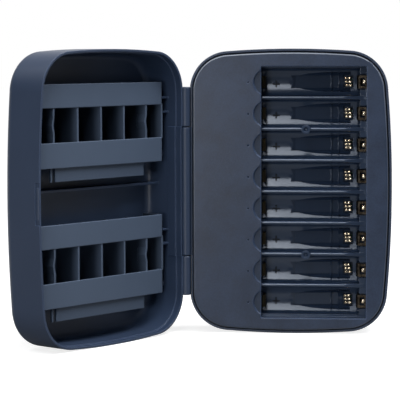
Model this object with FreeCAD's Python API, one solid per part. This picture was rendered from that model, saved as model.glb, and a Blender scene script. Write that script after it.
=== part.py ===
import FreeCAD, Part
import math
import os

# Hinged battery case: a charger base with eight bays and a deep storage cover with two tilting
# racks. Millimetres. Everything is laid out in the closed case first: the hinge axis is the Z axis,
# the parting plane is Y = 0, the base lies behind it (+Y) and the cover in front of it (-Y).
# The cover is then swung open about the hinge, and the whole case is moved so that the origin
# is the centre of its footprint.

V = FreeCAD.Vector

# ---------------------------------------------------------------- driving dimensions
case_width = 109.0          # hinge side to the top of the bulge on the free side
case_height = 154.0         # over both bulged ends
free_side_bulge = 4.5       # how far the free side bows out between its ends
end_bulge = 3.3             # how far each end bows out between its ends
corner_radius = 21.5
wall = 1.8                  # side walls of both shells
floor_wall = 1.6            # the cover's large face
back_edge_fillet = 5.0
rim_wall = 1.2              # side walls beside the parting plane, where the panel plugs in
rim_gap = 0.3               # between the two rims when shut
weld = 0.5                  # how far a rib, boss or post runs into the wall that carries it
cover_rabbet_depth = 3.8
base_rabbet_depth = 2.85

opening_angle = 125.5       # between shut and the pose the case is drawn in

hinge_offset = 2.2          # hinge axis to the flat hinge side
barrel_radius = 2.8
pin_radius = 1.0
pin_fit = 0.03              # radial room where the pin is fixed
pin_running = 0.07          # radial room where the barrel turns on it
middle_knuckle_half = 34.8
barrel_half = 56.5
knuckle_gap = 0.3
knuckle_chamfer = 0.45
barrel_relief = 0.35        # room round a knuckle in the other shell
pin_end_wall = 1.2
pin_head_room = 0.3         # top of the pin to the top of its bore
web_relief = 0.1            # knuckle's web to the far side of its barrel
pad_edge = 0.9              # hinge side to the outer face of the pads beside the hinge
pad_depth = 9.0             # parting plane to the lower edge of the cover's pad
pad_step = 0.6              # how far the cover's lower pad stands in from its wall
pad_room = 0.3              # pads to the edge of the charger's face
base_pad_height = 1.1

panel_proud = 2.5           # how far the charger's face stands out of the base rim
panel_inset = 2.0           # outline of the case to the face's edge
panel_thickness = 1.8
panel_edge_radius = 0.9
panel_flange_inset = 1.4
panel_flange_height = 1.4
panel_side_wall = 1.3
panel_plug_room = 0.05      # between the face's flange and the base's rim

bay_count = 8
bay_ridge = 2.1             # between two neighbouring saddles, at the height of the cells' axes
bay_start = 40.9            # hinge axis to the bays' left wall
bay_spring_room = 4.0       # end of the large cell to the bays' right wall
bay_centre_z = -0.5
cell_radius = 7.25          # the larger cell the bays take
cell_clearance = 0.2
cell_axis_depth = 6.0       # parting plane to the axis of a cell in its bay
ridge_top_depth = 4.5       # parting plane to the top of the ridges between bays
saddle_floor_radius = 12.0  # the saddles' shallow floor
saddle_corner_radius = 3.0  # the rounding from a saddle's floor into its walls
small_cell_radius = 5.25
small_cell_clearance = 0.2
small_cell_lift = 1.6       # small cell's near end above the bottom of the large cell
small_cell_fall = 5.9       # how much lower the small cell's far end lies than its near end
trough_end_room = 1.2
cell_end_room = 0.3
small_pocket_room = 0.6     # pocket for the small cells' spring, in front of the spring
small_pocket_length = 5.4
small_pocket_half = 3.7
small_pocket_sink = 0.25
pocket_sink = 0.85          # floor of the large cells' spring pocket below the saddles
large_pocket_half = 4.2
slot_room = 0.4             # in front of the contacts' tails
slot_length = 1.2
slot_starts = (-1.45, 2.55, -0.45)  # saddle's floor to the slots: positive, small, large
small_cell_length = 44.5
cell_length = 50.5
tray_wall = 1.2
tray_floor = 1.25           # under the lowest point of the troughs
tray_gap = 0.05             # between the tray's lip and the back of the face
tray_lip_reach = 1.0
tray_lip_height = 1.2
tray_end_room = 0.4         # between the tray and the side wall of the face
tray_room_depth = 4.0       # top of the ridges to the roof of the room under the tray
pillar_radius = 2.5
pillar_top_depth = 1.6
pillar_ridges = (1, 5)      # which ridges carry a pillar, counted from the top
pillar_place = 24.0         # bays' left wall to the pillars
pillar_dimple_radius = 1.3
pillar_dimple_depth = 1.0
pillar_foot = 1.5           # how far a pillar runs down below the cells' axes
ridge_ramp_length = 12.0    # the ridges run down towards the bays' right wall
ridge_ramp_drop = 1.1
trough_rib_places = (37.3, 41.3)    # bays' left wall to the two low ribs across a trough
trough_rib_thickness = 0.7
trough_rib_height = 0.35
relief_start = 15.4         # bays' left wall to the window in the trough's floor
relief_end = 41.4
relief_half = 3.4
relief_depth = 0.5
relief_slant = 2.5
relief_slant_drop = 1.6
relief_mouth = 4.0

contact_sheet = 0.35
contact_gap = 2.1           # bays' left wall to the face of the positive contacts
positive_half = 3.2         # half widths of the three kinds of contact
small_negative_half = 2.9
large_negative_half = 3.5
tail_half = 1.2
slot_half = 1.6             # half width of the slots for the contacts' tails
small_preload = 2.0         # how far the springs stand into the room of a cell
large_preload = 1.4
small_tail_offset = 3.4     # face of a spring to its tail
large_tail_offset = 0.4     # end of the large cell to its spring's tail
led_inset = 7.0             # bays' left wall to the row of lamps
lamp_hole_radius = 0.45
lamp_half = (0.8, 0.5)
lamp_height = 0.9
light_pipe_radius = 1.2
light_pipe_gap = 0.2        # lamp to the light pipe
light_pipe_room = 0.05
light_pipe_sink = 0.35      # pipe's tip below the charger's face
lamp_tube_radius = 2.2
lamp_tube_length = 5.0
scoop_radius = 7.05         # thumb scoops beside the bays
scoop_reach = 4.1
scoop_depth = 0.3           # at the scoop's far edge
scoop_slope = 5.0           # degrees

board_thickness = 1.2
board_gap = 0.6             # tray's underside to the board
board_rest = 1.4            # board to the inside of the flat back
foot_radius = 4.5
foot_thickness = 2.2
foot_recess = 1.0
foot_room = 0.1
foot_edge_radius = 0.5
board_left, board_right, board_half = 17.0, 98.0, 64.0
board_tongue_half = 7.0     # the board's tongue under the power socket
board_tongue_end = 73.0

# screws, posts and feet stand at (x, z) places
case_screw_places = ((13.0, 58.0), (13.0, -58.0), (103.3, 47.0), (103.3, -47.0))
board_screw_places = ((21.5, 52.0), (21.5, 0.0), (21.5, -52.0))
board_rest_places = ((60.0, 30.0), (60.0, -30.0), (88.0, 30.0), (88.0, -30.0))
foot_places = ((24.0, 60.0), (24.0, -60.0), (90.0, 60.0), (90.0, -60.0))
case_screw_radius = 1.3
case_screw_head = 2.4
case_screw_head_height = 1.8
case_screw_sink = 4.0       # flat back to the seat of the heads
case_screw_tip = 2.0        # back of the face to the screws' tips
small_screw_radius = 0.9
small_screw_head = 1.9
small_screw_head_height = 1.1
small_screw_grip = 8.0      # length of a tray screw in the tray
small_screw_hole = 1.1      # radius of the screw holes in the board
screw_fit = 0.03            # radial room of a screw in the plastic it grips
screw_pass = 0.2            # radial room of a screw that passes through
screw_end_room = 0.2        # past the tip of a screw
head_room = 0.3
post_radius = 3.1
post_meet_depth = 9.7       # parting plane to where the shell's posts meet the face's bosses
board_post_radius = 2.6
board_rest_radius = 2.0
socket_half = 4.5
socket_height = 3.2
socket_x = 56.0
socket_sheet = 0.35
socket_start = 70.1
socket_sink = 1.4           # mouth of the socket below the top end of the base
socket_room = 0.6
socket_tongue_half = (3.3, 0.35)
socket_tongue_sink = 1.2
coil_places = ((27.0, 38.0), (27.0, 22.0))
coil_radius = 4.2
coil_height = 4.2
can_places = ((25.0, -16.0), (25.0, -26.0))
can_radius = 3.2
can_height = 8.5
chip_places = ((25.5, 9.0), (25.5, -38.0))
chip_half = 3.5
chip_height = 1.1

rack_height = 42.8
rack_lower_band = 13.0
rack_upper_band = 12.2
rack_front_depth = 8.2      # parting plane to the front of the racks
rack_band_wall = 1.1
rack_divider = 1.1
rack_floor_wall = 1.2
rack_end_wall = 1.1
rack_start = 9.2            # hinge axis to the racks' end on the hinge side
rack_cell_room = 1.82       # what a slot is wider than its cell
rack_small_room = 1.0
rack_depth_room = 0.25      # what a slot is deeper than its cell
rack_cell_count = 4
rack_floor_room = 0.35      # racks' back edges to the cover's floor
rack_corner_radius = 1.8    # front corners of the racks' ends
rack_edge_chamfer = 0.25
rack_divider_sink = 0.4     # dividers behind the bands' front
rack_divider_drop = 1.5     # dividers below the racks' top
rack_lip_thickness = 0.8    # low lip along the back of the racks' floor
rack_lip_height = 6.0
bump_reach = 0.8            # the kink that snaps over a cell, in the two outer dividers
bump_half = 4.0
bump_depth = 6.0
cradle_half = 0.5           # rib that centres the small cell in the slot at the hinge
cradle_reach = 1.6
cradle_start = 3.0          # behind the bands
cradle_height = 23.0
rack_skirt_drop = 7.0
rack_skirt_depth = 1.6      # skirt behind the racks' front plane
rack_skirt_wall = 1.1
rack_skirt_inset = (1.0, 2.0)       # skirt's ends from the outer dividers, hinge side first
rack_skirt_post = (0.2, 1.3)        # the narrow post beside the skirt, from the outer divider
upper_rack_top = 59.3       # the outer ends of the racks, beside the cover's rounded corners
lower_rack_bottom = -55.1
rack_pivot_rise = 4.0
rack_pivot_back = 6.5
rack_pin_radius = 0.9
rack_boss_radius = 1.8
rack_hub_reach = 0.6        # how far the hubs stand into the end slots
rack_pin_hold = (3.4, 2.0)  # length of the pins in the bosses, hinge side first
rack_pin_room = 0.2         # tip of a pin to the end of its hub
rack_side_room = 0.4        # racks' ends to the bosses they turn between
rack_back_chamfer = 2.6     # clears the rounded inside edge of the cover
guide_drops = (8.5, 16.2)   # racks' top to the thin ribs beside them
guide_span = (0.8, 7.0)     # behind the racks' front
guide_half = 0.5

rib_height = 8.0            # the rib across the cover's floor, between the racks
rib_thickness = 1.2
rib_z = 4.2
notch_half = 10.7           # thumb notches in the free side
notch_depth = 0.5
notch_reach = 3.2
snap_bead_reach = 0.55
snap_bead_sink = 0.3
snap_bead_half = 8.0
snap_bead_depth = 1.5

# ---------------------------------------------------------------- derived positions
x_hinge_side = hinge_offset
x_middle = hinge_offset + case_width / 2
x_free_side = hinge_offset + case_width
half_height = case_height / 2
free_arc_radius = (half_height ** 2 + free_side_bulge ** 2) / (2 * free_side_bulge)
end_arc_radius = ((case_width / 2) ** 2 + end_bulge ** 2) / (2 * end_bulge)
cell_seat = cell_radius + cell_clearance
saddle_floor = cell_axis_depth + cell_seat
small_seat = small_cell_radius + small_cell_clearance
bay_pitch = 2 * cell_seat + bay_ridge
bay_end = bay_start + contact_gap + cell_length + bay_spring_room
bays_top = bay_centre_z + bay_count * bay_pitch / 2
bays_bottom = bays_top - bay_count * bay_pitch
tray_depth = cell_axis_depth + cell_seat - small_cell_lift + small_cell_fall + tray_floor
board_front = tray_depth + board_gap
board_back = board_front + board_thickness
shell_floor = board_back + board_rest
base_depth = shell_floor + wall             # parting plane to the flat back
contact_face = bay_start + contact_gap
small_spring = contact_face + small_cell_length - small_preload
large_spring = contact_face + cell_length - large_preload
small_tail = small_spring + small_tail_offset
large_tail = contact_face + cell_length + large_tail_offset
lamp_x = bay_start - led_inset
panel_face = -panel_proud
panel_back = panel_face + panel_thickness
rack_back_depth = rack_front_depth + rack_band_wall + 2 * cell_radius + rack_depth_room
cover_floor = rack_back_depth + rack_floor_room
cover_depth = cover_floor + floor_wall      # parting plane to the cover's outer face
rack_cell_pitch = 2 * cell_radius + rack_cell_room + rack_divider
rack_small_pitch = 2 * small_cell_radius + rack_small_room + rack_divider
rack_length = rack_cell_count * rack_cell_pitch + 2 * rack_small_pitch + rack_end_wall
rack_end = rack_start + rack_length
rack_bottoms = {"upper": upper_rack_top - rack_height, "lower": lower_rack_bottom}


# ---------------------------------------------------------------- shape helpers
def box(x0, x1, y0, y1, z0, z1):
    return Part.makeBox(x1 - x0, y1 - y0, z1 - z0, V(x0, y0, z0))


def rod(start, end, radius):
    direction = end - start
    return Part.makeCylinder(radius, direction.Length, start, direction)


def cone(start, end, radius_start, radius_end):
    direction = end - start
    return Part.makeCone(radius_start, radius_end, direction.Length, start, direction)


def joined(shapes):
    first, rest = shapes[0], shapes[1:]
    return first.fuse(rest).removeSplitter() if rest else first


def group(shapes):
    return Part.makeCompound(shapes)


def polygon_prism(points, z0, z1):
    """Closed outline of (x, y) points, carried along Z."""
    corners = [V(x, y, z0) for x, y in points]
    face = Part.Face(Part.makePolygon(corners + corners[:1]))
    return face.extrude(V(0, 0, z1 - z0))


def bent_strip(points, thickness, half_width, z):
    """Sheet of constant thickness that follows (x, y) points, its width along Z about z."""
    offsets = []
    for index, (x, y) in enumerate(points):
        normals = []
        for a, b in ((index - 1, index), (index, index + 1)):
            if a >= 0 and b < len(points):
                dx = points[b][0] - points[a][0]
                dy = points[b][1] - points[a][1]
                length = math.hypot(dx, dy)
                normals.append((-dy / length, dx / length))
        nx = sum(n[0] for n in normals) / len(normals)
        ny = sum(n[1] for n in normals) / len(normals)
        scale = thickness / (nx * nx + ny * ny)
        offsets.append((x + nx * scale, y + ny * scale))
    return polygon_prism(points + offsets[::-1], z - half_width, z + half_width)


def corner_centre(side):
    """Centre of a corner arc that runs into the end arc and into the hinge or the free side."""
    end_z = half_height - end_arc_radius
    reach = end_arc_radius - corner_radius
    if side == "hinge":
        x = x_hinge_side + corner_radius
        return V(x, 0, end_z + math.sqrt(reach ** 2 - (x - x_middle) ** 2))
    end = V(x_middle, 0, end_z)
    free = V(x_free_side - free_arc_radius, 0, 0)
    apart = free - end
    distance = apart.Length
    free_reach = free_arc_radius - corner_radius
    along = (reach ** 2 - free_reach ** 2 + distance ** 2) / (2 * distance)
    across = math.sqrt(reach ** 2 - along ** 2)
    unit = apart / distance
    candidates = [end + unit * along + V(-unit.z, 0, unit.x) * (across * s) for s in (1, -1)]
    return max(candidates, key=lambda point: point.x + point.z)


def case_outline(inset, y):
    """The case's outline, moved in by inset, as a closed wire of arcs in the plane Y = y."""
    end = V(x_middle, 0, half_height - end_arc_radius)
    free = V(x_free_side - free_arc_radius, 0, 0)
    hinge_corner = corner_centre("hinge")
    free_corner = corner_centre("free")
    radius = corner_radius - inset

    def out_from(centre, towards, distance):
        direction = towards - centre
        return centre + direction * (distance / direction.Length)

    def arc_middle(centre, a, b):
        return out_from(centre, (a + b) * 0.5, radius)

    top_start = out_from(end, hinge_corner, end_arc_radius - inset)
    top_end = out_from(end, free_corner, end_arc_radius - inset)
    free_start = out_from(free, free_corner, free_arc_radius - inset)
    hinge_start = V(x_hinge_side + inset, 0, hinge_corner.z)
    quarter = [
        (hinge_start, arc_middle(hinge_corner, hinge_start, top_start), top_start),
        (top_start, V(x_middle, 0, half_height - inset), top_end),
        (top_end, arc_middle(free_corner, top_end, free_start), free_start),
    ]

    def flip(point):
        return V(point.x, 0, -point.z)

    arcs = quarter + [(free_start, V(x_free_side - inset, 0, 0), flip(free_start))]
    arcs += [(flip(c), flip(b), flip(a)) for a, b, c in reversed(quarter)]
    lift = V(0, y, 0)
    edges = [Part.Arc(a + lift, b + lift, c + lift).toShape() for a, b, c in arcs]
    edges.append(Part.makeLine(flip(hinge_start) + lift, hinge_start + lift))
    return Part.Wire(edges)


def case_block(inset, y0, y1):
    return Part.Face(case_outline(inset, y0)).extrude(V(0, y1 - y0, 0))


def edges_at_depth(shape, y):
    return [edge for edge in shape.Edges
            if abs(edge.BoundBox.YMin - y) < 1e-4 and abs(edge.BoundBox.YMax - y) < 1e-4]


def rounded_block(inset, y0, y1, radius):
    """A block of the case's outline whose edge at y1 is rounded."""
    block = case_block(inset, y0, y1)
    return block.makeFillet(radius, edges_at_depth(block, y1))


def free_side_at(z, inset):
    """X of the free side at height z, away from the corners."""
    return x_free_side - free_arc_radius + math.sqrt((free_arc_radius - inset) ** 2 - z ** 2)


# ---------------------------------------------------------------- hinge
def knuckle(z0, z1, side):
    """A hinge knuckle with its web; side is +1 on the base and -1 on the cover."""
    barrel = rod(V(0, 0, z0), V(0, 0, z1), barrel_radius)
    rims = [edge for edge in barrel.Edges if len(edge.Vertexes) == 1]
    barrel = barrel.makeChamfer(knuckle_chamfer, rims)
    web_near = side * rim_gap / 2
    web_far = side * (barrel_radius - web_relief)
    web = box(0, hinge_offset + wall / 2, min(web_near, web_far), max(web_near, web_far), z0, z1)
    return [barrel, web]


def outer_knuckle_spans():
    inner = middle_knuckle_half + knuckle_gap
    return ((inner, barrel_half), (-barrel_half, -inner))


def hinge_pin():
    """Steel pin, pushed in from the top of the hinge."""
    return rod(V(0, 0, -barrel_half + pin_end_wall), V(0, 0, barrel_half - pin_head_room), pin_radius)


# ---------------------------------------------------------------- cover
def rack_pivot(bottom):
    """Depth and height of the axis that a rack tilts about."""
    return -(rack_front_depth + rack_pivot_back), bottom + rack_pivot_rise


def rack_bosses(bottom):
    """Ears on the cover's side walls that hold the pivot pins of one rack."""
    y, z = rack_pivot(bottom)
    hinge_wall = x_hinge_side + wall
    free_wall = free_side_at(abs(z) + rack_boss_radius, wall)
    near = rod(V(hinge_wall - weld, y, z), V(rack_start - rack_side_room, y, z), rack_boss_radius)
    far = rod(V(rack_end + rack_side_room, y, z), V(free_wall + wall / 2, y, z), rack_boss_radius)
    return [near, far]


def rack_pin_spans():
    """Where the two pivot pins of a rack start and end, hinge side first."""
    reach = rack_end_wall + rack_hub_reach - rack_pin_room
    return ((rack_start - rack_side_room - rack_pin_hold[0], rack_start + reach),
            (rack_end - reach, rack_end + rack_side_room + rack_pin_hold[1]))


def rack_pins(bottom):
    y, z = rack_pivot(bottom)
    return group([rod(V(a, y, z), V(b, y, z), rack_pin_radius) for a, b in rack_pin_spans()])


def rack_guides(bottom):
    """Thin ribs on the cover's walls that centre a rack between its ends."""
    ribs = []
    near, far = guide_span
    for drop in guide_drops:
        z = bottom + rack_height - drop
        far_wall = free_side_at(abs(z), wall)
        for x0, x1 in ((x_hinge_side + wall - weld, rack_start - rack_side_room),
                       (rack_end + rack_side_room, far_wall + weld)):
            ribs.append(box(x0, x1, -(rack_front_depth + far), -(rack_front_depth + near),
                            z - guide_half, z + guide_half))
    return ribs


def snap_bead():
    """Low bead inside the free side, beside the edge of the face when the case is shut."""
    x = x_free_side - rim_wall + snap_bead_sink
    return rod(V(x, -snap_bead_depth, -snap_bead_half), V(x, -snap_bead_depth, snap_bead_half),
               snap_bead_reach + snap_bead_sink)


def thumb_notch(side):
    """Cutter for the thumb notch in the free side of the base (+1) or the cover (-1)."""
    near, far = sorted((-side, side * notch_reach))
    return box(x_free_side - notch_depth, x_free_side + 1, near, far, -notch_half, notch_half)


def cover_pads(front, jog_half):
    """Thick places in the cover's hinge side, behind the middle knuckle."""
    outer = x_hinge_side + pad_edge
    return [box(outer, x_hinge_side + panel_inset - pad_room, -pad_depth, front, -jog_half, jog_half),
            box(outer, x_hinge_side + wall + pad_step, -pad_depth, -cover_rabbet_depth,
                -jog_half, jog_half)]


def floor_rib(front):
    """Low rib across the cover's floor, between the racks."""
    rib = box(x_hinge_side, x_free_side, -cover_floor - weld, -cover_floor + rib_height,
              rib_z - rib_thickness / 2, rib_z + rib_thickness / 2)
    inside = rounded_block(wall / 2, front, -cover_floor - weld, back_edge_fillet - wall / 2)
    return rib.common(inside)


def storage_cover():
    """Deep moulded cover: a bulged tub with the outer hinge knuckles, rack ears and floor rib."""
    front = -rim_gap / 2
    outer = rounded_block(0, front, -cover_depth, back_edge_fillet)
    inner = rounded_block(wall, front, -cover_floor, back_edge_fillet - floor_wall)
    rabbet = case_block(rim_wall, front, -cover_rabbet_depth)
    tub = outer.cut([inner, rabbet, thumb_notch(-1)])

    jog_half = middle_knuckle_half + knuckle_gap
    extras = cover_pads(front, jog_half) + [floor_rib(front), snap_bead()]
    for bottom in rack_bottoms.values():
        extras += rack_bosses(bottom) + rack_guides(bottom)
    for z0, z1 in outer_knuckle_spans():
        extras += knuckle(z0, z1, -1)
    tub = joined([tub] + extras)

    cuts = [rod(V(0, 0, -jog_half), V(0, 0, jog_half), barrel_radius + barrel_relief)]
    cuts.append(rod(V(0, 0, -barrel_half + pin_end_wall), V(0, 0, barrel_half + 1),
                    pin_radius + pin_fit))
    for bottom in rack_bottoms.values():
        y, z = rack_pivot(bottom)
        for a, b in rack_pin_spans():
            cuts.append(rod(V(a, y, z), V(b, y, z), rack_pin_radius + pin_fit))
    return tub.cut(cuts)


# ---------------------------------------------------------------- racks
def divider_places():
    """X of the middle of each divider, from the free side to the hinge side."""
    last = rack_end - rack_end_wall / 2
    first = last - rack_small_pitch
    return [first - index * rack_cell_pitch for index in range(rack_cell_count + 1)]


def rack_band(z0, z1):
    """One front band, its end corners rounded and its long front edges bevelled."""
    front = -rack_front_depth
    corner = rack_band_wall + rack_corner_radius
    band = joined([box(rack_start, rack_end, front - rack_band_wall, front, z0, z1),
                   box(rack_start, rack_start + corner, front - corner, front, z0, z1),
                   box(rack_end - corner, rack_end, front - corner, front, z0, z1)])
    upright = [edge for edge in edges_at_depth(band, front) if edge.BoundBox.ZLength > 1]
    band = band.makeFillet(rack_corner_radius, upright)
    return band.makeChamfer(rack_edge_chamfer, edges_at_depth(band, front))


def kinked_divider(x, bottom):
    """Divider with a kink towards the free side, which the cell beside it snaps past."""
    front = -rack_front_depth - rack_divider_sink
    top = bottom + rack_height - rack_divider_drop
    half = rack_divider / 2
    middle = bottom + (rack_lower_band + rack_height - rack_upper_band) / 2
    plate = box(x - half, x + half, -rack_back_depth, front, bottom, top)
    bump_back = front - bump_depth

    def wedge(reach_x):
        points = [V(reach_x, bump_back, middle - bump_half),
                  V(reach_x + bump_reach, bump_back, middle),
                  V(reach_x, bump_back, middle + bump_half)]
        return Part.Face(Part.makePolygon(points + points[:1])).extrude(V(0, front - bump_back, 0))

    outside = wedge(x + half)
    inside = wedge(x - half - 1e-3)
    return joined([plate, outside]).cut(inside)


def cradle_rib(x_divider, bottom):
    """Rib on the last divider that centres the small cell in the slot beside the hinge."""
    x = x_divider - rack_divider / 2
    front = -rack_front_depth - cradle_start
    return box(x - cradle_reach, x, front - 2 * cradle_half, front, bottom, bottom + cradle_height)


def rack_skirt(bottom):
    """Skirt below the floor: a wide plate and a narrow post beside it."""
    places = divider_places()
    back = -rack_front_depth - rack_skirt_depth - rack_skirt_wall
    front = back + rack_skirt_wall
    spans = ((places[-1] + rack_skirt_inset[0], places[0] - rack_skirt_inset[1]),
             (places[0] + rack_skirt_post[0], places[0] + rack_skirt_post[1]))
    return [box(a, b, back, front, bottom - rack_skirt_drop, bottom) for a, b in spans]


def rack_hub(x0, x1, bottom):
    y, z = rack_pivot(bottom)
    return rod(V(x0, y, z), V(x1, y, z), rack_boss_radius)


def rack_swing_waste(bottom):
    """What the back bottom edge loses so that the rack can swing past the cover's floor."""
    y, z = rack_pivot(bottom)
    low = bottom - rack_skirt_drop - 1
    behind = box(rack_start - 1, rack_end + 1, -rack_back_depth - 2, y, low, z)
    return behind.cut(rod(V(rack_start - 2, y, z), V(rack_end + 2, y, z), rack_back_depth + y))


def rack_end_chamfers(bottom):
    """Wedges cut off the back edges of the racks' ends, beside the cover's rounded inside."""
    back = -rack_back_depth
    wedges = []
    for end, inward in ((rack_start, 1), (rack_end, -1)):
        points = [(end - inward, back - 1), (end + inward * (rack_back_chamfer + 1), back - 1),
                  (end - inward, back + rack_back_chamfer + 1)]
        wedges.append(polygon_prism(points, bottom - 1, bottom + rack_height + 1))
    return wedges


def rack(bottom):
    """One moulded rack: two front bands, six slots, a floor, a skirt and rounded ends."""
    top = bottom + rack_height
    front = -rack_front_depth
    back = -rack_back_depth
    inside = front - rack_band_wall - rack_corner_radius
    pieces = [rack_band(bottom, bottom + rack_lower_band), rack_band(top - rack_upper_band, top)]
    pieces.append(box(rack_start, rack_end, back, inside, bottom, bottom + rack_floor_wall))
    pieces.append(box(rack_start + rack_end_wall, rack_end - rack_end_wall, inside,
                      front - rack_band_wall / 2, bottom, bottom + rack_floor_wall))
    pieces.append(box(rack_start, rack_end, back, back + rack_lip_thickness,
                      bottom, bottom + rack_lip_height))
    for x in (rack_start, rack_end - rack_end_wall):
        pieces.append(box(x, x + rack_end_wall, back, inside, bottom, top))
        pieces.append(box(x, x + rack_end_wall, inside, front - rack_divider_sink,
                          bottom + rack_lower_band - weld, top - rack_upper_band + weld))
    places = divider_places()
    for x in places[1:-1]:
        pieces.append(box(x - rack_divider / 2, x + rack_divider / 2, back,
                          front - rack_divider_sink, bottom, top - rack_divider_drop))
    pieces += [kinked_divider(x, bottom) for x in (places[0], places[-1])]
    pieces.append(cradle_rib(places[-1], bottom))
    pieces += rack_skirt(bottom)
    hub = rack_end_wall + rack_hub_reach
    for x in (rack_start, rack_end - hub):
        pieces.append(rack_hub(x, x + hub, bottom))
    body = joined(pieces).cut([rack_swing_waste(bottom)] + rack_end_chamfers(bottom))
    y, z = rack_pivot(bottom)
    holes = [rod(V(a - rack_pin_room / 2, y, z), V(b + rack_pin_room / 2, y, z),
                 rack_pin_radius + pin_running) for a, b in rack_pin_spans()]
    return body.cut(holes)


# ---------------------------------------------------------------- base
def socket_centre_depth():
    return board_front - socket_height / 2


def rounded_slot(x, y, half_x, half_y, z0, z1):
    """A slot with round ends across X, carried along Z."""
    flat = half_x - half_y
    return joined([box(x - flat, x + flat, y - half_y, y + half_y, z0, z1),
                   rod(V(x - flat, y, z0), V(x - flat, y, z1), half_y),
                   rod(V(x + flat, y, z0), V(x + flat, y, z1), half_y)])


def base_posts():
    """Posts inside the back of the base, for the case screws and under the circuit board."""
    end = shell_floor + weld
    posts = [rod(V(x, post_meet_depth, z), V(x, end, z), post_radius) for x, z in case_screw_places]
    posts += [rod(V(x, board_back, z), V(x, end, z), board_post_radius)
              for x, z in board_screw_places]
    posts += [rod(V(x, board_back, z), V(x, end, z), board_rest_radius)
              for x, z in board_rest_places]
    return posts


def base_shell_cuts():
    """Bores, screw holes, recesses for the feet and the socket's slot."""
    bore_end = middle_knuckle_half + 1
    cuts = [rod(V(0, 0, -bore_end), V(0, 0, bore_end), pin_radius + pin_running)]
    outside = base_depth + 1
    for z0, z1 in outer_knuckle_spans():
        cuts.append(rod(V(0, 0, z0 - knuckle_gap), V(0, 0, z1 + knuckle_gap),
                        barrel_radius + barrel_relief))
    for x, z in case_screw_places:
        cuts.append(rod(V(x, 0, z), V(x, outside, z), case_screw_radius + screw_pass))
        cuts.append(rod(V(x, base_depth - case_screw_sink, z), V(x, outside, z),
                        case_screw_head + head_room))
    for x, z in board_screw_places:
        cuts.append(rod(V(x, board_back - 1, z), V(x, shell_floor + wall / 2, z),
                        small_screw_radius + screw_fit))
    for x, z in foot_places:
        cuts.append(rod(V(x, base_depth - foot_recess, z), V(x, outside, z), foot_radius + foot_room))
    cuts.append(rounded_slot(socket_x, socket_centre_depth(), socket_half + socket_room,
                             socket_height / 2 + socket_room, half_height - end_bulge - wall,
                             half_height + 1))
    return cuts


def base_shell():
    """Back half of the base: a bulged shell with the middle hinge knuckle and screw posts."""
    front = rim_gap / 2
    outer = rounded_block(0, front, base_depth, back_edge_fillet)
    inner = rounded_block(wall, front, shell_floor, back_edge_fillet - wall)
    rabbet = case_block(rim_wall + panel_plug_room, front, front + base_rabbet_depth)
    shell = outer.cut([inner, rabbet, thumb_notch(1)])
    extras = knuckle(-middle_knuckle_half, middle_knuckle_half, 1) + base_posts()
    for z0, z1 in outer_knuckle_spans():
        extras.append(box(x_hinge_side + pad_edge, x_hinge_side + panel_flange_inset, front,
                          front + base_pad_height, z0, z1))
    return joined([shell] + extras).cut(base_shell_cuts())


def charger_panel():
    """Face of the charger: a raised plate with the bays' opening, lamp holes and thumb scoops."""
    seat = rim_gap / 2 + base_rabbet_depth
    inside = panel_inset + panel_side_wall
    plate = case_block(panel_inset, panel_face, seat)
    plate = plate.makeFillet(panel_edge_radius, edges_at_depth(plate, panel_face))
    plate = plate.cut(case_block(inside, panel_back, seat))
    flange = case_block(panel_flange_inset, seat - panel_flange_height, seat).cut(
        case_block(inside, panel_back, seat + 1))
    bosses = [rod(V(x, panel_back - weld, z), V(x, post_meet_depth, z), post_radius)
              for x, z in case_screw_places]
    tubes = [rod(V(lamp_x, panel_back - weld, z), V(lamp_x, panel_back + lamp_tube_length, z),
                 lamp_tube_radius) for z in bay_heights()]
    plate = joined([plate, flange] + bosses + tubes)

    cuts = [box(bay_start, bay_end, panel_face - 1, panel_back + 1, bays_bottom, bays_top)]
    for x, z in case_screw_places:
        cuts.append(rod(V(x, panel_back + case_screw_tip - screw_end_room, z),
                        V(x, post_meet_depth + 1, z), case_screw_radius + screw_fit))
    for z in bay_heights():
        cuts.append(rod(V(lamp_x, panel_face - 1, z), V(lamp_x, panel_back, z), lamp_hole_radius))
        cuts.append(rod(V(lamp_x, panel_back, z), V(lamp_x, panel_back + lamp_tube_length + 1, z),
                        light_pipe_radius + light_pipe_room))
        cuts.append(thumb_scoop(z))
    return plate.cut(cuts)


def thumb_scoop(z):
    """Shallow round scoop that slopes down into a bay, cut by a tilted cylinder."""
    centre = V(bay_start - scoop_reach + scoop_radius, panel_face, z)
    slope = math.radians(scoop_slope)
    axis = V(math.sin(slope), math.cos(slope), 0)
    shallow = scoop_depth + scoop_radius * math.tan(slope)
    return rod(centre - axis * panel_proud, centre + axis * shallow, scoop_radius)


def bay_heights():
    return [bays_top - bay_pitch * (index + 0.5) for index in range(bay_count)]


def ridge_heights():
    return [bays_top - bay_pitch * index for index in range(1, bay_count)]


def small_cell_line(z):
    """Start and end of the axis of the small cell's trough in one bay."""
    start_y = cell_axis_depth + cell_seat - small_seat - small_cell_lift
    x0 = contact_face
    x1 = x0 + small_cell_length + trough_end_room
    return V(x0, start_y, z), V(x1, start_y + small_cell_fall, z)


def trough_floor(x):
    """Depth of the lowest line of the small cell's trough at x."""
    a, b = small_cell_line(0)
    return a.y + (x - a.x) * (b.y - a.y) / (b.x - a.x) + small_seat


def contact_slots(z):
    """Slots in the tray's floor for the tails of one bay's three contacts."""
    places = (bay_start + slot_room / 2, small_tail - slot_room, large_tail - slot_room)
    return [box(x, x + slot_length, saddle_floor + depth, tray_depth + 1, z - slot_half, z + slot_half)
            for x, depth in zip(places, slot_starts)]


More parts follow.
